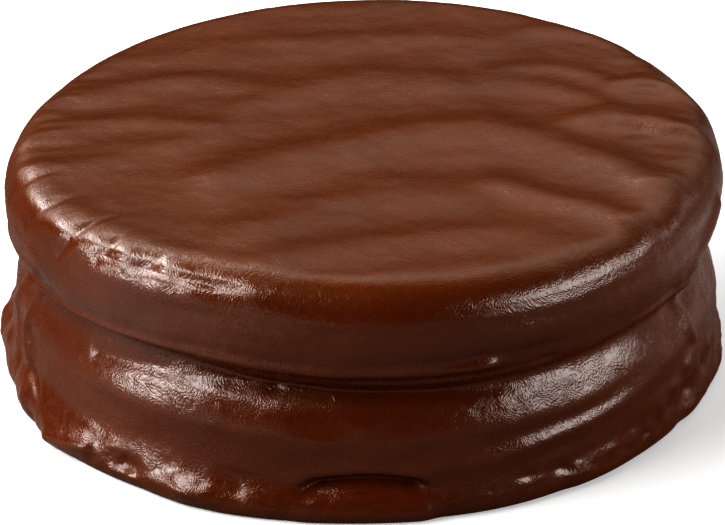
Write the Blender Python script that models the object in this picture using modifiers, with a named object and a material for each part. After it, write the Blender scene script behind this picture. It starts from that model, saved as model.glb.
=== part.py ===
"""Chocolate-coated alfajor, one solid.

Two round biscuit layers pressed on a filling and coated all over, so that only the coating's
outside shows: an upper disc with a rippled top and a rounded rim, a lip above a shallow waist
groove, a lower disc with a soft shoulder, and a foot where the coating pooled before it set.

Frame: metres, +Z up, origin under the middle of the outline on the resting plane, front at -Y.
The working functions below are in millimetres and degrees.
"""
import math

import bpy
import numpy as np

# ------------------------------------------------------------------ driving sizes (mm)
TOP_RADIUS = 30.78        # widest radius of the upper disc
TOP_HEIGHT = 20.75        # mean height of the top face
RIM_WIDTH = 3.4           # horizontal reach of the rim's rounding
RIM_DROP = 4.3            # height over which the rim rounds down to the wall
RIM_POWER = 2.25          # 2 rounds the rim as an ellipse, more as a squarer curve
LIP_HEIGHT = 12.95        # lower edge of the upper disc
GROOVE_RADIUS = 29.40     # bottom of the waist groove
GROOVE_HEIGHT = 11.35
SHOULDER_HEIGHT = 7.2     # where the lower disc reaches its full radius
LOW_RADIUS = 30.62        # lower disc
CREASE_HEIGHT = 3.15      # where the foot starts
LOW_SPREAD = 0.40         # how far the wall spreads between shoulder and foot
FOOT_RADIUS = 31.85       # pooled foot
FOOT_BULGE = 0.95         # height of the foot's widest line
SOLE_RADIUS = 31.10       # edge of the flat underside

# Out of round and out of level, hand made:
# (1 = shifted, 2 = oval, 3 and more = that many soft corners; amount in mm; direction in degrees)
UPPER_ROUND = ((1, 0.28, -50), (2, 0.10, 35), (3, 0.10, 90), (4, 0.25, 20), (5, 0.10, -5))
WAIST_ROUND = ((2, 0.15, -55), (3, 0.15, 60))
LOWER_ROUND = ((1, 0.30, -15), (2, 0.10, -60))
FOOT_ROUND = ((1, 0.30, -155), (2, 0.25, 20), (5, 0.15, 10), (9, 0.10, 10))
UPPER_LEVEL = ((2, 0.30, 55),)
WAIST_LEVEL = ((3, 0.20, -10), (4, 0.10, -35), (2, 0.10, 20))

SEGMENTS = 96             # steps of the turned shape
MM_PER_DEG = math.radians(1.0) * 30.5
MM = 0.001


# ------------------------------------------------------------------ small helpers
def smooth(lo, hi, v):
    """0 below lo, 1 above hi, smooth between."""
    t = np.clip((v - lo) / (hi - lo), 0.0, 1.0)
    return t * t * (3.0 - 2.0 * t)


def bell(v, width):
    return np.exp(-(v / width) ** 2)


def turn(angle, centre):
    """Signed difference of two angles in degrees."""
    return (angle - centre + 180.0) % 360.0 - 180.0


def span(angle, start, end, fade):
    """1 between two angles (degrees, start to end anticlockwise), fading over `fade` at both ends."""
    half = 0.5 * ((end - start) % 360.0)
    return 1.0 - smooth(half - fade * 0.5, half + fade * 0.5, np.abs(turn(angle, start + half)))


def spot(deg, z, at, height, along, tall):
    """Round mark on the side: centre angle and height, half sizes along and up (mm)."""
    return np.exp(-(turn(deg, at) * MM_PER_DEG / along) ** 2 - ((z - height) / tall) ** 2)


def path(deg, z, points):
    """Distance (mm) to a line of (angle, height) points on the side."""
    best = np.full(z.shape, 1e9)
    for (a0, z0), (a1, z1) in zip(points[:-1], points[1:]):
        ax, az = turn(deg, a0) * MM_PER_DEG, z - z0
        bx, bz = (a1 - a0) * MM_PER_DEG, z1 - z0
        t = np.clip((ax * bx + az * bz) / (bx * bx + bz * bz), 0.0, 1.0)
        best = np.minimum(best, np.hypot(ax - t * bx, az - t * bz))
    return best


def waves(angle, *terms):
    """Sum of amplitude * cos(count * (angle - phase)), angles in degrees."""
    return sum(a * np.cos(np.radians(k * (angle - ph))) for k, a, ph in terms)


# ------------------------------------------------------------------ nominal turned profile
def arc(cr, cz, ar, az, start, end, steps):
    """Points on an ellipse arc, angles in degrees, first point left out."""
    for i in range(1, steps + 1):
        t = math.radians(start + (end - start) * i / steps)
        yield cr + ar * math.cos(t), cz + az * math.sin(t)


def ease(p, q, steps):
    """S-shaped run between two points that leaves and arrives vertically."""
    for i in range(1, steps + 1):
        t = i / steps
        yield p[0] + (q[0] - p[0]) * (3 * t * t - 2 * t ** 3), p[1] + (q[1] - p[1]) * t


def turned_profile():
    """(radius, height) from the middle of the top, over the rim and down to the middle below."""
    pts = [(0.0, TOP_HEIGHT)]
    flat = TOP_RADIUS - RIM_WIDTH
    rings = 12
    pts += [(flat * i / rings, TOP_HEIGHT) for i in range(1, rings + 1)]
    for i in range(1, 7):
        t = math.radians(90 - 90 * i / 6)
        full = (abs(math.cos(t)) ** RIM_POWER + abs(math.sin(t)) ** RIM_POWER) ** (-1 / RIM_POWER)
        pts.append((flat + RIM_WIDTH * full * math.cos(t), TOP_HEIGHT - RIM_DROP + RIM_DROP * full * math.sin(t)))
    pts += ease(pts[-1], (TOP_RADIUS - 0.42, LIP_HEIGHT), 3)
    pts += ease(pts[-1], (GROOVE_RADIUS, GROOVE_HEIGHT), 4)
    pts += ease(pts[-1], (LOW_RADIUS, SHOULDER_HEIGHT), 5)
    # the wall spreads a little towards the foot, then the foot swells out
    for i in range(1, 5):
        t = i / 4
        pts.append((LOW_RADIUS + LOW_SPREAD * t * t, SHOULDER_HEIGHT + (CREASE_HEIGHT - SHOULDER_HEIGHT) * t))
    tall = CREASE_HEIGHT - FOOT_BULGE
    swell_out = FOOT_RADIUS - LOW_RADIUS - LOW_SPREAD
    start = 2.0 * LOW_SPREAD / (SHOULDER_HEIGHT - CREASE_HEIGHT) * tall
    for i in range(1, 5):
        t = i / 4
        pts.append((LOW_RADIUS + LOW_SPREAD + start * (t ** 3 - 2 * t * t + t) + swell_out * (3 * t * t - 2 * t ** 3),
                    CREASE_HEIGHT - tall * t))
    # the foot turns in to the flat sole
    pts += arc(SOLE_RADIUS, FOOT_BULGE, FOOT_RADIUS - SOLE_RADIUS, FOOT_BULGE, 0, -90, 3)
    pts += [(SOLE_RADIUS * f, 0.0) for f in (0.72, 0.38, 0.0)]
    return pts


# ------------------------------------------------------------------ ripples of the top coating
# Each ripple is a low ridge that runs from left to right, steep behind and gentle in front:
# peak x, peak y, fall to the left and to the right (mm per mm), roundness of the peak,
# left end, right end, height, width behind, width in front.
RIPPLES = (
    (2.0, 26.2, 0.04, 0.06, 3.0, -9.0, 12.0, 0.12, 1.6, 2.0),
    (2.0, 18.9, 0.04, 0.06, 3.0, -10.5, 13.0, 0.28, 2.4, 2.4),
    (-16.0, 16.3, 0.22, 0.05, 3.0, -25.0, -8.5, 0.20, 2.0, 2.1),
    (17.5, 20.2, 0.20, 0.50, 2.0, 13.0, 26.0, 0.24, 1.6, 1.7),
    (17.0, 11.9, 0.20, 0.85, 2.0, 11.0, 23.0, 0.26, 1.9, 1.8),
    (25.0, 8.0, 0.55, 0.90, 2.0, 21.0, 34.0, 0.42, 1.8, 1.3),
    (-16.8, 10.2, 0.42, 0.30, 3.0, -33.0, -7.0, 0.30, 2.2, 2.2),
    (0.0, 9.8, 0.62, 0.24, 2.5, -13.0, 9.5, 0.42, 3.0, 3.0),
    (14.0, 8.5, 0.20, 0.75, 2.5, 8.0, 23.0, 0.30, 2.2, 2.0),
    (-19.0, 1.8, 0.42, 0.45, 2.5, -33.0, -11.0, 0.28, 2.0, 2.1),
    (-21.5, -6.4, 0.46, -0.50, 3.0, -33.0, -13.0, 0.24, 1.9, 2.1),
    (-12.5, 0.0, 0.58, 0.10, 2.5, -30.0, -6.0, 0.14, 2.6, 3.0),
    (11.0, -1.0, 0.55, 1.05, 6.0, -21.0, 29.0, 0.70, 3.3, 3.6),
    (22.5, 1.0, 0.25, 0.60, 2.5, 16.0, 34.0, 0.56, 2.2, 1.7),
    (3.2, -12.4, 0.68, 0.50, 2.5, -13.0, 10.5, 0.34, 2.8, 2.8),
    (11.0, -11.9, 0.30, 0.62, 1.5, 8.5, 25.0, 0.48, 2.3, 1.8),
    (9.5, -20.0, 0.32, 0.24, 3.0, -10.0, 17.0, 0.28, 2.2, 2.4),
    (9.0, -25.4, 0.30, -0.30, 3.0, 0.0, 16.0, 0.14, 1.8, 2.4),
)


def ripple_height(x, y):
    h = np.zeros_like(x)
    for px, py, fall_l, fall_r, c, x0, x1, high, back, front in RIPPLES:
        u = x - px
        fall = 0.5 * (fall_l + fall_r) * (np.sqrt(u * u + c * c) - c) + 0.5 * (fall_r - fall_l) * u
        d = y - (py - fall)
        ends = smooth(x0 - 1.5, x0 + 3.5, x) * (1.0 - smooth(x1 - 3.5, x1 + 1.5, x))
        h += high * ends * np.where(d > 0, bell(d, back), bell(d, front))
    return h * (1.0 + 0.2 * smooth(16.0, 24.0, x))


# ------------------------------------------------------------------ relief of the rim
def rim_relief(deg, z):
    """Displacement of the rim along its normal: a few soft bulges at the left, a gutter between them."""
    d = 0.10 * span(deg, -150, -100, 10) * bell(z - 19.9, 0.9)
    d += 0.12 * span(deg, -153, -137, 5) * bell(z - 19.3, 0.8)
    d += 0.11 * span(deg, -136, -111, 6) * bell(z - 18.1, 0.75)
    for at, height, along, high in ((-156, 20.0, 2.0, 0.26), (-145, 19.8, 1.8, 0.28), (-120.5, 19.8, 2.0, 0.16),
                                    (-22, 19.6, 1.6, 0.12), (-12, 19.8, 1.6, 0.14)):
        d += high * spot(deg, z, at, height, along, 0.75)
    return d


# ------------------------------------------------------------------ relief of the side
def side_relief(deg, z):
    """Outward displacement of the side coating."""
    d = np.zeros_like(z)
    # the lip's edge climbs from the left as a soft bead; a drop hangs where it ends
    d += 0.22 * bell(path(deg, z, ((-163, 12.1), (-148, 12.75), (-138, 13.15), (-128, 13.5), (-115, 13.75), (-97, 13.45), (-70, 13.4))), 0.5)
    d += 0.42 * spot(deg, z, -71.3, 13.7, 1.5, 0.6)
    # the groove is deeper at the front, the wall above it fuller
    d -= 0.80 * span(deg, -122, -74, 22) * bell(z - 11.1, 0.75)
    d -= 0.20 * span(deg, -74, -42, 14) * bell(z - 11.5, 1.2)
    d += span(deg, -160, -20, 20) * (0.10 * bell(z - 15.0, 0.9) - 0.08 * bell(z - 17.2, 0.6))
    # a second soft ridge low on the right front, with a hollow under it
    ridge = 5.7 + 0.055 * turn(deg, -56)
    d += 0.30 * bell(turn(deg, -56), 15) * (bell(z - ridge, 0.75) - 0.5 * bell(z - ridge - 1.2, 0.7) - 0.4 * bell(z - ridge + 1.15, 0.7))
    # folds that run down the wall, right, left and behind
    for line, high, wide in ((((-26.5, 13.8), (-29.6, 11.6), (-27.5, 9.2), (-25.6, 6.7), (-29.0, 5.4)), 0.42, 0.9),
                             (((-30.0, 13.6), (-23.0, 15.2), (-14.0, 16.8)), 0.40, 0.9),
                             (((-156.0, 12.2), (-158.5, 9.5), (-160.0, 6.8), (-158.0, 4.9)), 0.50, 0.9),
                             (((-166.0, 10.5), (-168.5, 7.0), (-166.0, 4.5)), 0.30, 0.9)):
        d += high * bell(path(deg, z, line), wide)
    for centre, width, high in ((38, 4.0, 0.32), (101, 5.0, 0.26), (160, 4.0, 0.32), (-8, 3.0, 0.22)):
        d += high * bell(turn(deg, centre), width) * smooth(3.6, 6.0, z) * (1.0 - smooth(12.0, 15.5, z))
    # the dark arched slot at the front where the coating bridges the crease
    u = turn(deg, -90)
    d -= 1.05 * (1.0 - smooth(6.5, 11.0, np.abs(u))) * bell(z - (3.5 - 0.8 * (u / 10.0) ** 2), 0.65)
    # where the foot hardly swells out
    d -= (1.0 - smooth(FOOT_BULGE, CREASE_HEIGHT, z)) * (0.34 * span(deg, -178, -143.0, 9.0) + 0.40 * span(deg, -136.0, -122.5, 5.0)
                                                         + 0.16 * span(deg, -111.5, -100, 4.0) + 0.42 * span(deg, -80, -57, 4.0)
                                                         + 0.22 * span(deg, -57, -30, 4.0))
    d -= 0.22 * span(deg, -162, -111, 8) * bell(z - 2.9, 0.7)
    # the foot at the left: ball, long lump, pit, second lump
    d += 0.40 * spot(deg, z, -155.5, 2.0, 1.4, 1.0)
    d += 0.40 * bell(path(deg, z, ((-144.5, 0.8), (-141.0, 1.3), (-136.8, 2.2))), 0.9)
    d -= 0.60 * spot(deg, z, -128.3, 2.35, 1.8, 0.7)
    d += 0.38 * spot(deg, z, -116.4, 2.1, 2.0, 0.85)
    # slower lumps and dents of the foot all round, the back like the front
    foot = 1.0 - smooth(2.2, 3.4, z)
    for centre, width, high in (
        (-163, 3.0, -0.25), (-50, 6.0, 0.12), (-30, 2.5, -0.20), (-12, 5.0, 0.30), (14, 5.0, 0.35),
        (33, 4.0, -0.55), (52, 7.0, 0.35), (77, 4.0, -0.35), (96, 6.0, 0.30), (121, 4.0, -0.60), (139, 6.0, 0.35),
    ):
        d += high * foot * bell(turn(deg, centre), width)
    for at, height, along, high in ((-172, 3.0, 2.0, 0.30), (-17.5, 4.0, 1.8, 0.28), (24, 2.4, 2.2, 0.30), (63, 2.4, 2.4, 0.26),
                                    (108, 2.2, 2.4, 0.30), (147, 2.3, 2.2, 0.26), (155, 2.4, 1.6, -0.40), (166, 2.6, 1.8, 0.30)):
        d += high * spot(deg, z, at, height, along, 0.85)
    return d


# ------------------------------------------------------------------ from the turned form to the real one
def deform(co):
    """Moves points of the turned form (mm), given with their nominal place, to the uneven real one."""
    x, y, z = co[:, 0], co[:, 1], co[:, 2]
    r = np.hypot(x, y)
    deg = np.degrees(np.arctan2(y, x))
    flat = TOP_RADIUS - RIM_WIDTH
    edge = np.clip(r / flat, 0.0, 1.0) ** 2

    upper = smooth(13.0, 16.5, z)
    waist = bell(z - GROOVE_HEIGHT, 1.5)
    lower = smooth(2.6, 4.2, z) * (1.0 - smooth(9.5, 12.0, z))
    foot = 1.0 - smooth(2.4, 3.6, z)

    dr = upper * waves(deg, *UPPER_ROUND)
    dr += waist * waves(deg, *WAIST_ROUND)
    dr += lower * waves(deg, *LOWER_ROUND)
    dr += foot * waves(deg, *FOOT_ROUND)
    dr += side_relief(deg, z) * (1.0 - smooth(17.2, 18.4, z))
    dr *= edge

    dz = upper * edge * waves(deg, *UPPER_LEVEL)
    dz += waist * (waves(deg, *WAIST_LEVEL) + 0.6 * bell(turn(deg, -130), 22))

    # ripples carry over the rim: the place on the ripple field is measured along the surface
    over = np.where(z > LIP_HEIGHT, np.maximum(TOP_HEIGHT - z, 0.0), 0.0)
    along = r + 0.55 * over
    field = ripple_height(along * np.cos(np.radians(deg)), along * np.sin(np.radians(deg)))
    field *= smooth(LIP_HEIGHT + 1.0, TOP_HEIGHT - 1.5, z) * (1.0 - 0.5 * smooth(flat - 0.5, flat + 2.6, r))
    tilt = np.clip((r - flat) / RIM_WIDTH, 0.0, 1.0)      # 0 on top, 1 at the wall
    bulges = rim_relief(deg, z) * smooth(16.4, 17.2, z) * smooth(flat - 1.5, flat + 0.3, r)
    dz += (field + bulges) * np.sqrt(1.0 - 0.98 * tilt ** 2)
    dr += (0.35 * field + bulges) * tilt

    out = np.empty_like(co)
    rr = np.where(r > 1e-6, (r + dr), r)
    out[:, 0] = rr * np.cos(np.radians(deg))
    out[:, 1] = rr * np.sin(np.radians(deg))
    out[:, 2] = np.where(z < 1e-6, 0.0, z + dz)
    return out


# ------------------------------------------------------------------ build
for ob in list(bpy.data.objects):
    bpy.data.objects.remove(ob, do_unlink=True)

group = bpy.data.collections.new("alfajor_cookie")
bpy.context.scene.collection.children.link(group)

coating = bpy.data.materials.new("chocolate_coating")
coating.use_nodes = True
shader = coating.node_tree.nodes["Principled BSDF"]
shader.inputs["Base Color"].default_value = (0.089, 0.0235, 0.0036, 1.0)
shader.inputs["Roughness"].default_value = 0.27
shader.inputs["Metallic"].default_value = 0.0

points = turned_profile()
outline = bpy.data.meshes.new("profile")
outline.from_pydata(
    [(r * MM, 0.0, z * MM) for r, z in points], [(i, i + 1) for i in range(len(points) - 1)], []
)
turned = bpy.data.objects.new("profile", outline)
group.objects.link(turned)
screw = turned.modifiers.new("turn", "SCREW")
screw.axis = "Z"
screw.angle = math.radians(360.0)
screw.steps = screw.render_steps = SEGMENTS
screw.use_merge_vertices = True
screw.merge_threshold = 0.00001
screw.use_smooth_shade = True

bpy.context.view_layer.update()
evaluated = turned.evaluated_get(bpy.context.evaluated_depsgraph_get())
mesh = bpy.data.meshes.new_from_object(evaluated)
bpy.data.objects.remove(turned, do_unlink=True)

co = np.empty(len(mesh.vertices) * 3)
mesh.vertices.foreach_get("co", co)
real = deform(co.reshape(-1, 3) / MM)
# the outline's middle goes over the origin
real[:, 0] -= 0.5 * (real[:, 0].min() + real[:, 0].max())
real[:, 1] -= 0.5 * (real[:, 1].min() + real[:, 1].max())
mesh.vertices.foreach_set("co", (real * MM).ravel())
mesh.update()

mesh.name = "coated_cookie"
cookie = bpy.data.objects.new("coated_cookie", mesh)
group.objects.link(cookie)
mesh.materials.clear()
mesh.materials.append(coating)
mesh.shade_smooth()
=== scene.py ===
import math

import bpy
import numpy as np
from mathutils import Matrix, Vector


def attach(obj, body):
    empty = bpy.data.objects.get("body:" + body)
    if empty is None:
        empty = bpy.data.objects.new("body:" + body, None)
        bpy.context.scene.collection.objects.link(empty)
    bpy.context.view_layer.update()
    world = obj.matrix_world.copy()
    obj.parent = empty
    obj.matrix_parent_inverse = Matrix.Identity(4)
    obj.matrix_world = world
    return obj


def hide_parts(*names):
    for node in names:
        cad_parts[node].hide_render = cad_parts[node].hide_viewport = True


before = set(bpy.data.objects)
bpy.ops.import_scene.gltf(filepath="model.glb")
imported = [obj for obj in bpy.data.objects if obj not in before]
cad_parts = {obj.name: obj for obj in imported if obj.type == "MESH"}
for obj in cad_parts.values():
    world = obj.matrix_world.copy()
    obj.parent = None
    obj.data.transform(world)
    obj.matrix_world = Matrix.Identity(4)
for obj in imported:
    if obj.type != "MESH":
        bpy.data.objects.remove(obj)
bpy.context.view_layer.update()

MM = 0.001

# ------------------------------------------------------------------ sizes of the cookie (mm)
TOP_RADIUS = 30.78
TOP_HEIGHT = 20.75
RIM_WIDTH = 3.4
RIM_DROP = 4.3
RIM_POWER = 2.25           # 2 is an ellipse, more is squarer
LIP_HEIGHT = 12.95
GROOVE_RADIUS = 29.40
GROOVE_HEIGHT = 11.35
SHOULDER_HEIGHT = 7.2
LOW_RADIUS = 30.62
CREASE_HEIGHT = 3.15
LOW_SPREAD = 0.40           # how far the wall spreads between shoulder and foot
FOOT_RADIUS = 31.85
FOOT_BULGE = 0.95
SOLE_RADIUS = 31.10

# out of round: (1 = shifted, 2 = oval, 3 and more = that many soft corners; amount mm; direction degrees)
UPPER_ROUND = ((1, 0.28, -50), (2, 0.10, 35), (3, 0.10, 90), (4, 0.25, 20), (5, 0.10, -5))
WAIST_ROUND = ((2, 0.15, -55), (3, 0.15, 60))
LOWER_ROUND = ((1, 0.20, -15), (2, 0.10, -60))
FOOT_ROUND = ((1, 0.40, -155), (2, 0.25, 20), (5, 0.15, 10), (9, 0.10, 10))
UPPER_LEVEL = ((2, 0.30, 55),)
WAIST_LEVEL = ((3, 0.20, -10), (4, 0.10, -35), (2, 0.10, 20))

GRID = 152                # cells across the top's grid; the rim has four times as many
SOLE_GRID = GRID // 2     # cells across the underside's grid
MM_PER_DEG = math.radians(1.0) * 30.5
WRINKLE_SPACING = 0.28    # the coating's close wrinkles
WRINKLE_DEPTH = 0.0044
CREASE_DEPTH = 0.020      # its branching creases
GRAIN_DEPTH = 0.008
# painted light: the top's browns are lighter than the sides' to stand for more light from above, and the sides' browns
# are painted shade
SHADED_SIDE_BROWNS = ((0.076, 0.0178, 0.0027), (0.090, 0.0213, 0.0032))
LIT_TOP_BROWNS = ((0.080, 0.0224, 0.0033), (0.096, 0.0270, 0.0040))


# ------------------------------------------------------------------ helpers
def smooth(lo, hi, v):
    t = np.clip((v - lo) / (hi - lo), 0.0, 1.0)
    return t * t * (3.0 - 2.0 * t)


def bell(v, width):
    return np.exp(-(v / width) ** 2)


def turn(angle, centre):
    return (angle - centre + 180.0) % 360.0 - 180.0


def span(angle, start, end, fade):
    """1 between two angles (degrees, start to end anticlockwise), fading over `fade` at both ends."""
    half = 0.5 * ((end - start) % 360.0)
    d = np.abs(turn(angle, start + half))
    return 1.0 - smooth(half - fade * 0.5, half + fade * 0.5, d)


def waves(angle, *terms):
    return sum(a * np.cos(np.radians(k * (angle - ph))) for k, a, ph in terms)


def swell(p, seed, shortest, longest, count=26):
    """Smooth deterministic noise, about -1 to 1: plane waves in space between two wavelengths (mm)."""
    rng = np.random.default_rng(seed)
    out = np.zeros(len(p))
    for _ in range(count):
        d = rng.normal(size=3)
        d /= np.linalg.norm(d)
        lam = shortest * (longest / shortest) ** rng.random()
        out += np.cos(2 * math.pi * (p @ d) / lam + rng.random() * 2 * math.pi)
    return out / math.sqrt(count)


def spot(deg, z, at, height, along, tall):
    """Round mark on the side: centre angle and height, half sizes along and up (mm)."""
    return np.exp(-(turn(deg, at) * MM_PER_DEG / along) ** 2 - ((z - height) / tall) ** 2)


def path(deg, z, points):
    """Distance (mm) to a line of (angle, height) points on the side, and its signed side, + above or right."""
    best = np.full(z.shape, 1e9)
    sign = np.ones(z.shape)
    for (a0, z0), (a1, z1) in zip(points[:-1], points[1:]):
        ax, az = turn(deg, a0) * MM_PER_DEG, z - z0
        bx, bz = (a1 - a0) * MM_PER_DEG, z1 - z0
        t = np.clip((ax * bx + az * bz) / (bx * bx + bz * bz), 0.0, 1.0)
        dx, dz = ax - t * bx, az - t * bz
        d = np.hypot(dx, dz)
        near = d < best
        best = np.where(near, d, best)
        sign = np.where(near, np.where(bx * az - bz * ax > 0, 1.0, -1.0), sign)
    return best, sign


# ------------------------------------------------------------------ turned form
def run_arc(cr, cz, ar, az, start, end, steps):
    return [(cr + ar * math.cos(math.radians(start + (end - start) * i / steps)),
             cz + az * math.sin(math.radians(start + (end - start) * i / steps))) for i in range(1, steps + 1)]


def run_ease(p, q, steps):
    out = []
    for i in range(1, steps + 1):
        t = i / steps
        out.append((p[0] + (q[0] - p[0]) * (3 * t * t - 2 * t ** 3), p[1] + (q[1] - p[1]) * t))
    return out


def side_profile():
    """(radius, height) from the edge of the flat top down to the edge of the sole."""
    flat = TOP_RADIUS - RIM_WIDTH
    pts = [(flat, TOP_HEIGHT)]
    for i in range(1, 25):
        t = math.radians(90 - 90 * i / 24)
        full = (abs(math.cos(t)) ** RIM_POWER + abs(math.sin(t)) ** RIM_POWER) ** (-1 / RIM_POWER)
        pts.append((flat + RIM_WIDTH * full * math.cos(t), TOP_HEIGHT - RIM_DROP + RIM_DROP * full * math.sin(t)))
    pts += run_ease(pts[-1], (TOP_RADIUS - 0.42, LIP_HEIGHT), 16)
    pts += run_ease(pts[-1], (GROOVE_RADIUS, GROOVE_HEIGHT), 9)
    pts += run_ease(pts[-1], (LOW_RADIUS, SHOULDER_HEIGHT), 20)
    # the wall spreads a little towards the foot, then the foot swells out
    for i in range(1, 17):
        t = i / 16
        pts.append((LOW_RADIUS + LOW_SPREAD * t * t, SHOULDER_HEIGHT + (CREASE_HEIGHT - SHOULDER_HEIGHT) * t))
    swell_out = FOOT_RADIUS - LOW_RADIUS - LOW_SPREAD
    tall = CREASE_HEIGHT - FOOT_BULGE
    start = 2.0 * LOW_SPREAD / (SHOULDER_HEIGHT - CREASE_HEIGHT) * tall
    for i in range(1, 15):
        t = i / 14
        pts.append((LOW_RADIUS + LOW_SPREAD + start * (t ** 3 - 2 * t * t + t) + swell_out * (3 * t * t - 2 * t ** 3),
                    CREASE_HEIGHT - tall * t))
    # the foot turns in to the sole
    pts += run_arc(SOLE_RADIUS, FOOT_BULGE, FOOT_RADIUS - SOLE_RADIUS, FOOT_BULGE, 0, -90, 7)
    return np.array(pts)


# ------------------------------------------------------------------ ripples of the top coating
# peak x, peak y, fall left, fall right, peak roundness, left end, right end, height, width behind, width in front
RIPPLES = (
    (2.0, 26.2, 0.04, 0.06, 3.0, -9.0, 12.0, 0.12, 1.6, 2.0),
    (2.0, 18.9, 0.04, 0.06, 3.0, -10.5, 13.0, 0.28, 2.4, 2.4),
    (-16.0, 16.3, 0.22, 0.05, 3.0, -25.0, -8.5, 0.20, 2.0, 2.1),
    (17.5, 20.2, 0.20, 0.50, 2.0, 13.0, 26.0, 0.24, 1.6, 1.7),
    (17.0, 11.9, 0.20, 0.85, 2.0, 11.0, 23.0, 0.26, 1.9, 1.8),
    (25.0, 8.0, 0.55, 0.90, 2.0, 21.0, 34.0, 0.42, 1.8, 1.3),
    (-16.8, 10.2, 0.42, 0.30, 3.0, -33.0, -7.0, 0.30, 2.2, 2.2),
    (0.0, 9.8, 0.62, 0.24, 2.5, -13.0, 9.5, 0.42, 3.0, 3.0),
    (14.0, 8.5, 0.20, 0.75, 2.5, 8.0, 23.0, 0.30, 2.2, 2.0),
    (-19.0, 1.8, 0.42, 0.45, 2.5, -33.0, -11.0, 0.28, 2.0, 2.1),
    (-21.5, -6.4, 0.46, -0.50, 3.0, -33.0, -13.0, 0.24, 1.9, 2.1),
    (-12.5, 0.0, 0.58, 0.10, 2.5, -30.0, -6.0, 0.14, 2.6, 3.0),
    (11.0, -1.0, 0.55, 1.05, 6.0, -15.0, 29.0, 0.66, 3.3, 3.6),
    (22.5, 1.0, 0.25, 0.60, 2.5, 16.0, 34.0, 0.56, 2.2, 1.7),
    (3.2, -12.4, 0.68, 0.50, 2.5, -13.0, 10.5, 0.34, 2.8, 2.8),
    (11.0, -11.9, 0.30, 0.62, 1.5, 8.5, 25.0, 0.48, 2.3, 1.8),
    (9.5, -20.0, 0.32, 0.24, 3.0, -10.0, 17.0, 0.28, 2.2, 2.4),
    (9.0, -25.4, 0.30, -0.30, 3.0, 0.0, 16.0, 0.14, 1.8, 2.4),
)


def ripple_height(x, y):
    h = np.zeros_like(x)
    for px, py, fall_l, fall_r, c, x0, x1, high, back, front in RIPPLES:
        u = x - px
        fall = 0.5 * (fall_l + fall_r) * (np.sqrt(u * u + c * c) - c) + 0.5 * (fall_r - fall_l) * u
        d = y - (py - fall)
        ends = smooth(x0 - 1.5, x0 + 3.5, x) * (1.0 - smooth(x1 - 3.5, x1 + 1.5, x))
        h += high * ends * np.where(d > 0, bell(d, back), bell(d, front))
    return h * (0.88 + 0.32 * smooth(16.0, 24.0, x))


# ------------------------------------------------------------------ relief of the rim, measured along its normal
def rim_relief(deg, z):
    d = np.zeros_like(z)
    # left: bulges and slanting creases, with a fine gutter
    left = span(deg, -150, -100, 10)
    d += 0.10 * left * bell(z - 19.9, 0.9)
    d += 0.12 * span(deg, -153, -137, 5) * bell(z - 19.3, 0.8)
    d += 0.11 * span(deg, -136, -111, 6) * bell(z - 18.1, 0.75)
    d -= 0.20 * span(deg, -137, -110, 8) * bell(z - 19.55, 0.26)
    for at, height, along, high in ((-156, 20.0, 2.0, 0.26), (-145, 19.8, 1.8, 0.28), (-136.5, 19.9, 1.4, 0.20),
                                    (-130.0, 19.9, 1.2, 0.16), (-120.5, 19.8, 2.0, 0.16), (-116.5, 18.7, 1.4, 0.14),
                                    (-128, 18.7, 1.2, 0.13), (-122, 18.6, 1.0, 0.10), (-106.5, 19.0, 1.6, 0.12), (-166, 20.0, 1.4, 0.18)):
        d += high * spot(deg, z, at, height, along, 0.75)
    for line, deep, wide in ((((-143.0, 17.9), (-139.6, 20.6)), 0.22, 0.36), (((-128.3, 19.0), (-123.5, 20.1)), 0.18, 0.34),
                             (((-134.5, 19.0), (-132.5, 20.3)), 0.12, 0.34), (((-153.5, 18.4), (-150.5, 20.6)), 0.20, 0.5),
                             (((-163.5, 18.4), (-160.5, 20.6)), 0.18, 0.5)):
        d -= deep * bell(path(deg, z, line)[0], wide)
    # right: a fainter line under the main one
    right = span(deg, -80, -30, 12)
    d -= 0.04 * right * bell(z - 18.45, 0.22)
    for at, height, along, high in ((-40, 19.2, 1.6, 0.06), (-31, 19.2, 2.0, 0.08), (-22, 19.6, 1.6, 0.12), (-12, 19.8, 1.6, 0.14)):
        d += high * spot(deg, z, at, height, along, 0.8)
    return d


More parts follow.
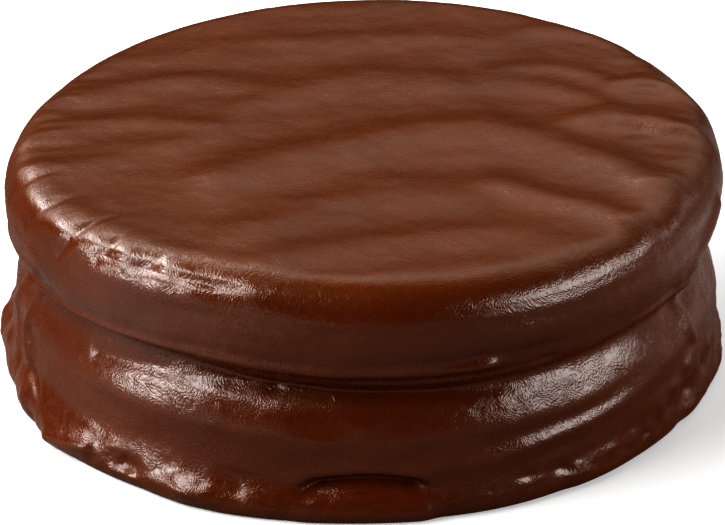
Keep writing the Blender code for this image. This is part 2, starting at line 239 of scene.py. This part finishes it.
# ------------------------------------------------------------------ relief of the side, measured outwards
def side_relief(deg, z):
    d = np.zeros_like(z)
    # lip: its edge is a thin bead that climbs from the left, with a crevice under it
    edge, _ = path(deg, z, ((-163, 12.1), (-148, 12.75), (-138, 13.15), (-128, 13.5), (-115, 13.75), (-97, 13.45), (-70, 13.4)))
    d += 0.26 * bell(edge, 0.42)
    gap, _ = path(deg, z, ((-150, 11.5), (-147, 11.7), (-131, 12.4), (-115, 12.6), (-97, 12.65), (-72, 12.6), (-60, 12.7)))
    d -= 0.22 * bell(gap, 0.34)
    gap, _ = path(deg, z, ((-62, 12.6), (-45, 12.9), (-33, 13.2), (-24, 13.6)))
    d -= 0.14 * bell(gap, 0.40)
    # groove deeper at the front
    d -= 0.80 * span(deg, -122, -74, 22) * bell(z - 11.1, 0.75)
    # hollow under the rim and a fuller wall below it
    d += span(deg, -160, -20, 20) * (0.10 * bell(z - 15.0, 0.9) - 0.08 * bell(z - 17.2, 0.6))
    d -= 0.16 * span(deg, -112, -96, 8) * bell(z - 10.4, 0.9)
    d -= 0.20 * span(deg, -74, -42, 14) * bell(z - 11.5, 1.2)
    # small drop where the bead ends
    d += 0.42 * spot(deg, z, -71.3, 13.7, 1.5, 0.50)
    d += 0.26 * spot(deg, z, -74.2, 13.5, 1.6, 0.36)
    d += 0.10 * spot(deg, z, -91.0, 8.7, 0.7, 0.5) + 0.06 * spot(deg, z, -97.0, 7.4, 1.0, 0.4)
    # shoulder's fold at the left, and a thin bead on the wall above it
    d -= 0.24 * bell(path(deg, z, ((-138, 9.6), (-126, 10.1), (-118, 10.3), (-104, 10.7)))[0], 0.42)
    d += 0.30 * bell(path(deg, z, ((-172, 14.0), (-160, 14.4), (-151, 14.6)))[0], 0.42)
    # second soft ridge low on the right front, with a hollow under it
    ridge = 5.7 + 0.055 * turn(deg, -56)
    d += 0.30 * bell(turn(deg, -56), 15) * (bell(z - ridge, 0.75) - 0.5 * bell(z - ridge - 1.2, 0.7) - 0.4 * bell(z - ridge + 1.15, 0.7))
    # folds that run down the wall, right and left
    for line, high, wide in ((((-26.5, 13.8), (-29.6, 11.6), (-27.5, 9.2), (-25.6, 6.7), (-29.0, 5.4)), 0.42, 0.75),
                             (((-30.0, 13.6), (-23.0, 15.2), (-14.0, 16.8)), 0.40, 0.85),
                             (((-156.0, 12.2), (-158.5, 9.5), (-160.0, 6.8), (-158.0, 4.9)), 0.50, 0.70),
                             (((-152.5, 12.0), (-154.6, 10.6), (-156.5, 8.5)), 0.20, 0.45),
                             (((-166.0, 10.5), (-168.5, 7.0), (-166.0, 4.5)), 0.30, 0.80)):
        d += high * bell(path(deg, z, line)[0], wide)
    for centre, width, high in ((38, 4.0, 0.32), (101, 5.0, 0.26), (160, 4.0, 0.32), (-8, 3.0, 0.22)):
        d += high * bell(turn(deg, centre + 1.2 * np.sin(z * 0.8)), width) * smooth(3.6, 6.0, z) * (1.0 - smooth(12.0, 15.5, z))
    # arched double slot at the front of the foot
    u = turn(deg, -90)
    ends = 1.0 - smooth(6.5, 11.0, np.abs(u))
    d -= 1.25 * ends * bell(z - (3.62 - 0.8 * (u / 10.0) ** 2), 0.55)
    d -= 0.20 * ends * bell(z - (2.60 - 0.2 * (u / 10.0) ** 2), 0.20)
    # the foot hardly swells out left of its long lump and where the pit is
    d -= (1.0 - smooth(FOOT_BULGE, CREASE_HEIGHT, z)) * (0.56 * span(deg, -178, -121.5, 8.0) + 0.20 * span(deg, -121.5, -112.0, 4.0)
                                                         + 0.16 * span(deg, -111.5, -100, 4.0) + 0.42 * span(deg, -80, -57, 4.0)
                                                         + 0.22 * span(deg, -57, -30, 4.0))
    # crease where the foot starts, left of the slot
    d -= 0.10 * bell(path(deg, z, ((-112, 3.7), (-106, 3.5), (-99.5, 2.9)))[0], 0.30)
    # the foot at the left: ball, notch, crack, long lump, pit with a bead, second lump
    d += 0.32 * spot(deg, z, -155.5, 2.0, 0.90, 0.90)
    d -= 0.30 * spot(deg, z, -152.0, 0.9, 0.8, 0.8)
    d -= 0.32 * bell(path(deg, z, ((-157.0, 3.9), (-154.5, 3.8), (-151.4, 2.9)))[0], 0.34)
    d += 0.60 * bell(path(deg, z, ((-145.5, 0.9), (-141.0, 1.4), (-137.0, 2.2)))[0], 0.95)
    d -= 0.45 * spot(deg, z, -128.3, 2.0, 1.6, 0.80)
    d += 0.16 * spot(deg, z, -127.2, 1.15, 0.60, 0.30)
    d += 0.14 * spot(deg, z, -131.0, 1.15, 0.45, 0.30)
    d -= 0.14 * spot(deg, z, -121.8, 2.3, 0.9, 1.1)
    d += 0.40 * spot(deg, z, -117.0, 1.7, 2.2, 0.85)
    d -= 0.30 * spot(deg, z, -109.8, 2.3, 1.3, 1.1)
    # the foot at the right: ring with its pit, hole, long lump, small lumps with notches between
    ring = np.hypot(turn(deg, -64.6) * MM_PER_DEG, (z - 2.5) * 1.1)
    d += 0.12 * spot(deg, z, -63.8, 2.2, 1.0, 0.35) - 0.12 * bell(ring, 0.55)
    d -= 0.24 * spot(deg, z, -59.6, 2.45, 0.85, 0.60)
    d += 0.16 * bell(path(deg, z, ((-56.0, 1.8), (-52.0, 2.2), (-47.5, 2.6)))[0], 0.8)
    for at, height, high in ((-44.0, 2.5, 0.18), (-40.4, 2.6, 0.20), (-36.9, 3.2, 0.24), (-32.8, 4.2, 0.20), (-24.0, 3.6, 0.30),
                             (-17.5, 4.2, 0.34), (-10.0, 2.6, 0.25), (-172.0, 3.0, 0.35), (176.0, 2.2, 0.30)):
        d += high * spot(deg, z, at, height, 0.85, 0.75)
    for at, height, deep in ((-46.6, 2.4, 0.12), (-42.2, 2.3, 0.14), (-38.6, 2.6, 0.18), (-34.7, 3.3, 0.20), (-28.0, 3.0, 0.30),
                             (-20.8, 3.4, 0.30), (-13.5, 2.2, 0.25), (-163.0, 3.0, 0.40), (-179.0, 2.5, 0.30)):
        d -= deep * spot(deg, z, at, height, 0.65, 0.9)
    # slower lumps and dents of the foot all round, the back like the front
    foot = 1.0 - smooth(2.2, 3.4, z)
    for centre, width, high in (
        (-163, 3.0, -0.25), (-50, 6.0, 0.12), (-30, 2.5, -0.20), (-12, 5.0, 0.30), (14, 5.0, 0.35),
        (33, 4.0, -0.55), (52, 7.0, 0.35), (77, 4.0, -0.35), (96, 6.0, 0.30), (121, 4.0, -0.60), (139, 6.0, 0.35),
    ):
        d += high * foot * bell(turn(deg, centre), width)
    for at, height, along, high in ((24, 2.4, 2.2, 0.30), (40, 2.2, 1.2, -0.45), (63, 2.4, 2.4, 0.26), (70, 2.6, 0.8, 0.25),
                                    (88, 2.3, 1.1, -0.40), (108, 2.2, 2.4, 0.30), (131, 2.6, 0.9, 0.30), (147, 2.3, 2.2, 0.26),
                                    (155, 2.4, 1.0, -0.45), (166, 2.6, 1.8, 0.30)):
        d += high * spot(deg, z, at, height, along, 0.85)
    return d


# ------------------------------------------------------------------ from the turned form to the real one
def deform(co):
    x, y, z = co[:, 0], co[:, 1], co[:, 2]
    r = np.hypot(x, y)
    deg = np.degrees(np.arctan2(y, x))
    flat = TOP_RADIUS - RIM_WIDTH
    edge = np.clip(r / flat, 0.0, 1.0) ** 2

    upper = smooth(13.0, 16.5, z)
    waist = bell(z - GROOVE_HEIGHT, 1.5)
    lower = smooth(1.4, 5.0, z) * (1.0 - smooth(9.5, 12.0, z))
    foot = 1.0 - smooth(1.4, 5.0, z)

    dr = upper * waves(deg, *UPPER_ROUND)
    dr += waist * waves(deg, *WAIST_ROUND)
    dr += lower * waves(deg, *LOWER_ROUND)
    dr += foot * waves(deg, *FOOT_ROUND)
    side = 1.0 - smooth(17.2, 18.4, z)
    dr += side_relief(deg, z) * side
    body = side * smooth(0.3, 2.0, z)
    calm = 1.0 - 0.60 * span(deg, -80, -38, 14) * bell(z - 10.0, 2.2)
    dr += 0.045 * swell(co * (1.0, 1.0, 1.8), 7, 4.0, 10.0) * body * calm
    dr += 0.035 * swell(co * (0.35, 0.35, 1.6), 11, 2.6, 5.0) * body * calm
    dr += 0.012 * swell(co, 13, 1.1, 2.2) * body
    dr += 0.030 * swell(co, 23, 0.8, 1.8) * smooth(0.2, 0.9, z) * (1.0 - smooth(2.2, 3.2, z))
    dr *= edge

    dz = upper * edge * waves(deg, *UPPER_LEVEL)
    dz += waist * (waves(deg, *WAIST_LEVEL) + 0.6 * bell(turn(deg, -130), 22))

    over = np.where(z > LIP_HEIGHT, np.maximum(TOP_HEIGHT - z, 0.0), 0.0)
    along = r + 0.55 * over
    ax, ay = along * np.cos(np.radians(deg)), along * np.sin(np.radians(deg))
    field = ripple_height(ax, ay)
    flatp = np.stack([ax, ay, 0 * ax], 1)
    field += 0.028 * swell(flatp * (0.6, 1.0, 1.0), 3, 2.5, 7.0)
    field += 0.010 * swell(co, 5, 1.1, 2.2)
    # small folds that come in from the left edge and from the right
    field += 0.06 * smooth(-21.0, -27.0, ax) * swell(np.stack([0.25 * ax, ay, 0 * ax], 1), 17, 1.8, 3.6)
    field += 0.06 * smooth(19.0, 26.0, ax) * swell(np.stack([0.6 * ax + 0.5 * ay, ay, 0 * ax], 1), 19, 1.8, 3.6)
    field *= smooth(LIP_HEIGHT + 1.0, TOP_HEIGHT - 1.5, z) * (1.0 - 0.5 * smooth(flat - 0.5, flat + 2.6, r))
    tilt = np.clip((r - flat) / RIM_WIDTH, 0.0, 1.0)
    bulges = rim_relief(deg, z) * smooth(16.4, 17.2, z) * smooth(flat - 1.5, flat + 0.3, r)
    dz += (field + bulges) * np.sqrt(1.0 - 0.98 * tilt ** 2)
    dr += (0.35 * field + bulges) * tilt

    # the sole is nearly flat: it stands on its rim and its middle is a little hollow and uneven
    sole = 0.08 * np.clip(1.0 + swell(co, 29, 5.0, 14.0), 0.4, 2.0) * (1.0 - smooth(SOLE_RADIUS - 5.0, SOLE_RADIUS - 1.0, r))

    out = np.empty_like(co)
    rr = np.where(r > 1e-6, r + dr, r)
    out[:, 0] = rr * np.cos(np.radians(deg))
    out[:, 1] = rr * np.sin(np.radians(deg))
    out[:, 2] = np.where(z < 1e-6, sole, z + dz)
    return out


# ------------------------------------------------------------------ mesh
def disc_grid(n):
    """Square grid drawn into the unit disc, ring by ring at even angles: points, and its rim in order."""
    g = np.linspace(-1.0, 1.0, n + 1)
    a, b = np.meshgrid(g, g, indexing="ij")
    a, b = a.ravel(), b.ravel()
    big = np.abs(a) >= np.abs(b)
    r = np.where(big, a, b)
    with np.errstate(divide="ignore", invalid="ignore"):
        ph = np.where(big, (math.pi / 4) * np.where(a != 0, b / a, 0.0), math.pi / 2 - (math.pi / 4) * np.where(b != 0, a / b, 0.0))
    pts = np.stack([r * np.cos(ph), r * np.sin(ph)], 1)
    idx = np.arange((n + 1) ** 2).reshape(n + 1, n + 1)
    rim = np.concatenate([idx[n, :-1], idx[:0:-1, n], idx[0, :0:-1], idx[:-1, 0]])
    return pts, idx, rim


def cookie_mesh():
    verts, faces = [], []
    # top
    pts, idx, rim = disc_grid(GRID)
    flat = TOP_RADIUS - RIM_WIDTH
    top = np.column_stack([pts * flat, np.full(len(pts), TOP_HEIGHT)])
    verts.append(top)
    q = np.stack([idx[:-1, :-1], idx[1:, :-1], idx[1:, 1:], idx[:-1, 1:]], -1).reshape(-1, 4)
    faces.append(q)
    base = len(top)
    ang = np.arctan2(pts[rim, 1], pts[rim, 0])
    m = len(rim)
    # side, ring by ring
    prof = side_profile()
    previous = rim
    for r, z in prof[1:]:
        ring = np.column_stack([r * np.cos(ang), r * np.sin(ang), np.full(m, z)])
        verts.append(ring)
        now = np.arange(base, base + m)
        base += m
        faces.append(np.stack([previous, now, np.roll(now, -1), np.roll(previous, -1)], -1))
        previous = now
    # one ring in on the sole, then half as many points, then the sole's own grid
    inner = prof[-1][0] - 0.5
    ring = np.column_stack([inner * np.cos(ang), inner * np.sin(ang), np.zeros(m)])
    verts.append(ring)
    now = np.arange(base, base + m)
    base += m
    faces.append(np.stack([previous, now, np.roll(now, -1), np.roll(previous, -1)], -1))
    spts, sidx, srim = disc_grid(SOLE_GRID)
    radius = inner - 0.8
    sole = np.column_stack([spts * radius, np.zeros(len(spts))])
    verts.append(sole)
    srim = srim + base
    sa = np.arctan2(spts[srim - base, 1], spts[srim - base, 0])
    tris = []
    k = int(np.argmin(np.abs(np.angle(np.exp(1j * (ang - sa[0]))))))
    out = np.roll(now, -k)                       # out[2i] faces srim[i]
    h = len(srim)
    o0, o1, o2 = out[0::2], out[1::2], np.roll(out[0::2], -1)
    i0, i1 = srim, np.roll(srim, -1)
    tris += [np.stack([o0, i0, o1], -1), np.stack([i0, i1, o1], -1), np.stack([o1, i1, o2], -1)]
    sq = np.stack([sidx[:-1, :-1], sidx[:-1, 1:], sidx[1:, 1:], sidx[1:, :-1]], -1).reshape(-1, 4) + base
    faces.append(sq)
    co = np.concatenate(verts)
    quads = np.concatenate(faces)
    tri = np.concatenate(tris)
    return co, quads, tri


co, quads, tri = cookie_mesh()
real = deform(co)
real[:, 0] -= 0.5 * (real[:, 0].min() + real[:, 0].max())
real[:, 1] -= 0.5 * (real[:, 1].min() + real[:, 1].max())

mesh = bpy.data.meshes.new("chocolate_cookie")
mesh.vertices.add(len(real))
mesh.vertices.foreach_set("co", (real * MM).ravel())
loops = np.concatenate([quads.ravel(), tri.ravel()])
mesh.loops.add(len(loops))
mesh.loops.foreach_set("vertex_index", loops)
mesh.polygons.add(len(quads) + len(tri))
starts = np.concatenate([np.arange(len(quads)) * 4, len(quads) * 4 + np.arange(len(tri)) * 3])
mesh.polygons.foreach_set("loop_start", starts)
mesh.update(calc_edges=True)
mesh.validate()
mesh.shade_smooth()
cookie = bpy.data.objects.new("chocolate_cookie", mesh)
bpy.context.scene.collection.objects.link(cookie)


# ------------------------------------------------------------------ chocolate
def chocolate():
    """Set chocolate: brown body, close wrinkles like a fingerprint over branching creases, fine grain."""
    mat = bpy.data.materials.new("chocolate_coating_fine")
    mat.use_nodes = True
    nt = mat.node_tree
    N, L = nt.nodes, nt.links
    bsdf = N["Principled BSDF"]
    tc = N.new("ShaderNodeTexCoord")
    mm = N.new("ShaderNodeVectorMath")
    mm.operation = "SCALE"
    mm.inputs["Scale"].default_value = 1000.0
    L.new(tc.outputs["Object"], mm.inputs[0])

    def noise(scale, detail=2.0, rough=0.5, warp=0.0):
        n = N.new("ShaderNodeTexNoise")
        n.inputs["Scale"].default_value = scale
        n.inputs["Detail"].default_value = detail
        n.inputs["Roughness"].default_value = rough
        n.inputs["Distortion"].default_value = warp
        L.new(mm.outputs[0], n.inputs["Vector"])
        return n.outputs["Fac"]

    def maths(op, a, b=None, c=None):
        n = N.new("ShaderNodeMath")
        n.operation = op
        for i, v in enumerate((a, b, c)):
            if v is None:
                continue
            if isinstance(v, (int, float)):
                n.inputs[i].default_value = v
            else:
                L.new(v, n.inputs[i])
        return n.outputs[0]

    def span_map(v, lo, hi, out_lo, out_hi):
        n = N.new("ShaderNodeMapRange")
        L.new(v, n.inputs["Value"])
        for name, x in (("From Min", lo), ("From Max", hi), ("To Min", out_lo), ("To Max", out_hi)):
            n.inputs[name].default_value = x
        return n.outputs[0]

    # close wrinkles at one spacing: waves in every direction, bent by a slow warp
    bend = N.new("ShaderNodeTexNoise")
    bend.inputs["Scale"].default_value = 0.55
    bend.inputs["Detail"].default_value = 1.0
    L.new(mm.outputs[0], bend.inputs["Vector"])
    warped = N.new("ShaderNodeVectorMath")
    warped.operation = "MULTIPLY_ADD"
    L.new(bend.outputs["Color"], warped.inputs[0])
    warped.inputs[1].default_value = (3.2, 3.2, 3.2)
    L.new(mm.outputs[0], warped.inputs[2])
    wrinkle = None
    count = 7
    for i in range(count):
        # directions spread evenly over half a sphere
        up = (i + 0.5) / count
        around = 2.399963 * i
        flat_part = math.sqrt(1.0 - up * up)
        number = 2 * math.pi / (WRINKLE_SPACING * (0.88 + 0.24 * ((i * 3) % count) / (count - 1)))
        dot = N.new("ShaderNodeVectorMath")
        dot.operation = "DOT_PRODUCT"
        L.new(warped.outputs[0], dot.inputs[0])
        dot.inputs[1].default_value = (number * flat_part * math.cos(around), number * flat_part * math.sin(around), number * up)
        wave = maths("SINE", maths("ADD", dot.outputs["Value"], 1.7 * i))
        wrinkle = wave if wrinkle is None else maths("ADD", wrinkle, wave)
    wrinkle = maths("MULTIPLY", wrinkle, 1.0 / math.sqrt(count))
    # branching creases between plates about 1 mm across
    crease = maths("POWER", maths("ABSOLUTE", maths("MULTIPLY_ADD", noise(1.15, 1.0, 0.4, 0.3), 2.0, -1.0)), 0.8)
    # grain, and patches where the wrinkles are strong or weak
    grain = noise(5.0, 2.0, 0.6)
    patch = span_map(noise(0.20, 1.0, 0.5), 0.38, 0.62, 0.45, 1.0)
    h = maths("MULTIPLY", wrinkle, WRINKLE_DEPTH)
    h = maths("MULTIPLY_ADD", maths("MULTIPLY", crease, patch), CREASE_DEPTH, h)
    h = maths("MULTIPLY_ADD", grain, GRAIN_DEPTH, h)
    bump = N.new("ShaderNodeBump")
    bump.inputs["Strength"].default_value = 1.0
    bump.inputs["Distance"].default_value = 0.001
    L.new(h, bump.inputs["Height"])
    L.new(bump.outputs["Normal"], bsdf.inputs["Normal"])

    # colour: slow drift between two browns. The top is painted lighter and less red than the sides: painted light from
    # above on the top, painted shade on the sides.
    def browns(dark, light):
        ramp = N.new("ShaderNodeValToRGB")
        for e, position, colour in zip(ramp.color_ramp.elements, (0.30, 0.70), (dark, light)):
            e.position = position
            e.color = (*colour, 1)
        L.new(drift, ramp.inputs["Fac"])
        return ramp.outputs["Color"]

    drift = noise(0.11, 3.0, 0.5)
    place = N.new("ShaderNodeSeparateXYZ")
    L.new(mm.outputs[0], place.inputs[0])
    # by height: above the rim the top's painted-lit browns take over from the sides' painted-shade browns
    mix = N.new("ShaderNodeMix")
    mix.data_type = "RGBA"
    L.new(span_map(place.outputs["Z"], 18.9, 20.5, 0.0, 1.0), mix.inputs["Factor"])
    L.new(browns(*SHADED_SIDE_BROWNS), mix.inputs["A"])
    L.new(browns(*LIT_TOP_BROWNS), mix.inputs["B"])
    L.new(mix.outputs["Result"], bsdf.inputs["Base Color"])
    L.new(span_map(noise(1.6, 3.0, 0.6), 0.3, 0.7, 0.22, 0.32), bsdf.inputs["Roughness"])
    bsdf.inputs["IOR"].default_value = 1.5
    return mat


mesh.materials.append(chocolate())
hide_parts("coated_cookie")
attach(cookie, "root")

# ------------------------------------------------------------------ floor
# Plain and pale. Light that bounces off it on to the cookie is kept low, as over a shaded table.
bpy.ops.mesh.primitive_plane_add(size=3.0, location=(0, 0, 0))
floor = bpy.context.object
floor.name = "floor"


def floor_material(albedo, lift, bounce, behind, left, right):
    """Pale to the camera. To everything else: `bounce` in front, `behind` at the back, more by these shares front left and back right."""
    fm = bpy.data.materials.new("pale_floor")
    fm.use_nodes = True
    nt = fm.node_tree
    nt.nodes.clear()
    out = nt.nodes.new("ShaderNodeOutputMaterial")
    path = nt.nodes.new("ShaderNodeLightPath")
    pick = nt.nodes.new("ShaderNodeMixShader")
    dim = nt.nodes.new("ShaderNodeBsdfDiffuse")
    place = nt.nodes.new("ShaderNodeTexCoord")
    across = nt.nodes.new("ShaderNodeSeparateXYZ")
    nt.links.new(place.outputs["Object"], across.inputs[0])

    def fade(axis, start, end, a, b):
        n = nt.nodes.new("ShaderNodeMapRange")
        for name, x in (("From Min", start), ("From Max", end), ("To Min", a), ("To Max", b)):
            n.inputs[name].default_value = x
        nt.links.new(across.outputs[axis], n.inputs["Value"])
        return n.outputs[0]

    def maths(kind, a, b):
        n = nt.nodes.new("ShaderNodeMath")
        n.operation = kind
        nt.links.new(a, n.inputs[0])
        if isinstance(b, float):
            n.inputs[1].default_value = b
        else:
            nt.links.new(b, n.inputs[1])
        return n.outputs[0]

    left_front = maths("MULTIPLY", fade("X", -0.042, -0.022, left, 0.0), fade("Y", -0.026, -0.010, 1.0, 0.0))
    right_back = maths("MULTIPLY", fade("X", 0.024, 0.044, 0.0, right), fade("Y", -0.015, 0.005, 0.0, 1.0))
    sides = maths("ADD", maths("ADD", left_front, right_back), 1.0)
    nt.links.new(maths("MULTIPLY", fade("Y", -0.015, 0.045, bounce, behind), sides), dim.inputs["Color"])
    pale = nt.nodes.new("ShaderNodeBsdfDiffuse")
    pale.inputs["Color"].default_value = (albedo, albedo, albedo, 1)
    glow = nt.nodes.new("ShaderNodeEmission")
    glow.inputs["Color"].default_value = (1, 1, 1, 1)
    glow.inputs["Strength"].default_value = lift
    both = nt.nodes.new("ShaderNodeAddShader")
    nt.links.new(pale.outputs[0], both.inputs[0])
    nt.links.new(glow.outputs[0], both.inputs[1])
    nt.links.new(path.outputs["Is Camera Ray"], pick.inputs["Fac"])
    nt.links.new(dim.outputs[0], pick.inputs[1])
    nt.links.new(both.outputs[0], pick.inputs[2])
    nt.links.new(pick.outputs[0], out.inputs["Surface"])
    return fm


floor.data.materials.append(floor_material(0.60, 0.20, 0.26, 0.07, 1.2, 1.5))

# ------------------------------------------------------------------ light
def studio_world(ambient, lobe, middle, low, high, power, front, wide):
    """Dim room with one wide soft glow behind and above, brightest at `middle` degrees up.
    Measured from there (sine of the angle) it fades from `high` down to `low` as a power, over the top between
    the two values of `front`, and sideways between the two values of `wide`."""
    world = bpy.data.worlds.new("studio")
    bpy.context.scene.world = world
    world.use_nodes = True
    nt = world.node_tree
    back = nt.nodes["Background"]
    way = nt.nodes.new("ShaderNodeTexCoord")
    e = math.radians(middle)

    def along(direction):
        dot = nt.nodes.new("ShaderNodeVectorMath")
        dot.operation = "DOT_PRODUCT"
        dot.inputs[1].default_value = direction
        nt.links.new(way.outputs["Generated"], dot.inputs[0])
        return dot.outputs["Value"]

    def fade(value, a, b, out_a, out_b, kind="SMOOTHSTEP"):
        n = nt.nodes.new("ShaderNodeMapRange")
        n.interpolation_type = kind
        for name, x in (("From Min", a), ("From Max", b), ("To Min", out_a), ("To Max", out_b)):
            n.inputs[name].default_value = x
        nt.links.new(value, n.inputs["Value"])
        return n.outputs[0]

    def maths(kind, a, b):
        n = nt.nodes.new("ShaderNodeMath")
        n.operation = kind
        nt.links.new(a, n.inputs[0])
        if isinstance(b, float):
            n.inputs[1].default_value = b
        else:
            nt.links.new(b, n.inputs[1])
        return n.outputs[0]

    up = along((0.0, -math.sin(e), math.cos(e)))
    out = nt.nodes.new("ShaderNodeMath")
    out.operation = "ABSOLUTE"
    nt.links.new(along((1.0, 0.0, 0.0)), out.inputs[0])
    rise = maths("POWER", fade(up, low, high, 0.0, 1.0, "LINEAR"), power)
    glow = maths("MULTIPLY", maths("MULTIPLY", rise, fade(up, front[0], front[1], 1.0, 0.0)),
                 fade(out.outputs[0], wide[0], wide[1], 1.0, 0.0))
    back.inputs["Color"].default_value = (1, 1, 1, 1)
    nt.links.new(fade(glow, 0.0, 1.0, ambient, ambient + lobe, "LINEAR"), back.inputs["Strength"])


studio_world(0.008, 1.34, 48, -0.70, 0.10, 1.6, (0.24, 0.62), (0.35, 0.95))


def softbox(name, azimuth, elevation, half_az, half_el, radiance, distance=0.6, colour=(1, 1, 1)):
    """Rectangular soft light. azimuth 0 is behind the cookie, -90 its left and 90 its right; sizes are half angles."""
    light = bpy.data.lights.new(name, "AREA")
    light.shape = "RECTANGLE"
    light.size = 2 * distance * math.tan(math.radians(half_az))
    light.size_y = 2 * distance * math.tan(math.radians(half_el))
    light.energy = radiance * math.pi * light.size * light.size_y
    light.color = colour
    ob = bpy.data.objects.new(name, light)
    bpy.context.scene.collection.objects.link(ob)
    a, e = math.radians(azimuth), math.radians(elevation)
    d = Vector((math.sin(a) * math.cos(e), math.cos(a) * math.cos(e), math.sin(e)))
    ob.location = Vector((0, 0, 0.012)) + d * distance
    ob.rotation_euler = (-d).to_track_quat("-Z", "Y").to_euler()
    return ob


softbox("key_high", -94, 45, 30, 10, 10.3)
softbox("key_low", -112, 14, 11, 6.0, 16.0)
softbox("kicker_right", 112, 15, 23, 10, 7.3)
softbox("side_right", 68, 10, 16, 8, 0.9)
softbox("back_left", -44, 22, 14, 12, 1.0)
softbox("rim_left", -52, 38, 11, 8, 4.2)
softbox("high_left", -28, 51, 8, 5, 3.6)
softbox("back_right", 36, 22, 14, 11, 0.2)

# ------------------------------------------------------------------ camera
def place_camera(elev, dist, focal_px, cx, cy, roll, shift_mm=(0.0, 0.0)):
    """Camera in front of the cookie; its axis is turned so that the frame needs no lens shift."""
    fwd = Vector((0, math.cos(elev), -math.sin(elev)))
    up = Vector((0, math.sin(elev), math.cos(elev)))
    right = Vector((1, 0, 0))
    place = -fwd * dist + Vector((shift_mm[0], shift_mm[1], 9.0))
    r2 = right * math.cos(roll) + up * math.sin(roll)
    u2 = up * math.cos(roll) - right * math.sin(roll)
    look = (fwd + r2 * ((362.5 - cx) / focal_px) - u2 * ((262.5 - cy) / focal_px)).normalized()
    r3 = (r2 - look * r2.dot(look)).normalized()
    u3 = r3.cross(look)
    rot = Matrix((r3, u3, -look)).transposed().to_4x4()
    cam = bpy.data.cameras.new("camera")
    cam.sensor_fit = "HORIZONTAL"
    cam.sensor_width = 36.0
    cam.lens = focal_px * 36.0 / 725.0
    cam.clip_start, cam.clip_end = 0.01, 20.0
    ob = bpy.data.objects.new("camera", cam)
    bpy.context.scene.collection.objects.link(ob)
    ob.matrix_world = Matrix.Translation(place * MM) @ rot
    bpy.context.scene.camera = ob
    return ob


place_camera(0.4727, 279.95, 3189.5, 361.76, 248.19, -0.00892, (0.20, -0.12))

view = bpy.context.scene.view_settings
view.view_transform = "Standard"
view.look = "Very High Contrast"

bpy.context.view_layer.update()
